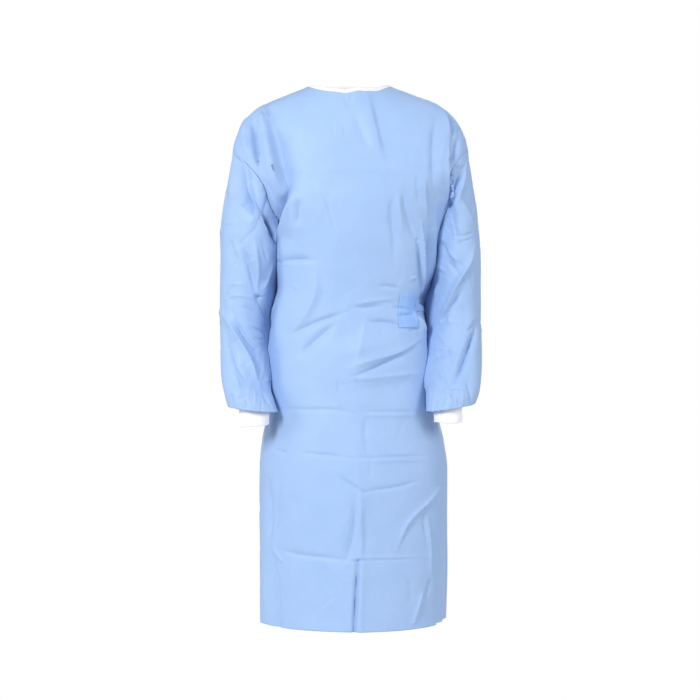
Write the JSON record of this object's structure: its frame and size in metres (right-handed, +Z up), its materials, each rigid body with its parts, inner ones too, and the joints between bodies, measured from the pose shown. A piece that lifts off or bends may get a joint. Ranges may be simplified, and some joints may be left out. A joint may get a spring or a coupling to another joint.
{
  "type": "surgical gown",
  "caption": "Long pale blue nonwoven surgical gown as worn, with a wrap back, dropped sleeves, white knit cuffs, a white neck binding and a tie belt at the waist.",
  "frame": {"origin": "midway between the two high points of the neck, where the wearer's shoulders hold the gown up", "axes": "+Z up the body, +X to the wearer's left, -Y out of the wearer's front"},
  "size_m": [0.5479, 0.331, 1.1302],
  "materials": {
    "nonwoven": "smooth bonded nonwoven, papery creases, slight sheen",
    "patch_blue": "two layers of the nonwoven, of a fuller blue",
    "white_knit": "matt fine rib knit",
    "white_tape": "matt white binding tape"
  },
  "bodies": {
    "root": {"front_panel": "nonwoven", "back_panel_outer": "nonwoven", "back_panel_inner": "nonwoven", "sleeve_right": "nonwoven", "sleeve_left": "nonwoven", "cuff_right": "white_knit", "cuff_left": "white_knit", "neck_binding": "white_tape", "neck_tab": "white_tape", "belt_patch": "patch_blue", "belt_front": "nonwoven", "belt_back": "nonwoven", "belt_knot": "nonwoven", "belt_tail_1": "nonwoven", "belt_tail_2": "nonwoven"}
  },
  "joints": []
}
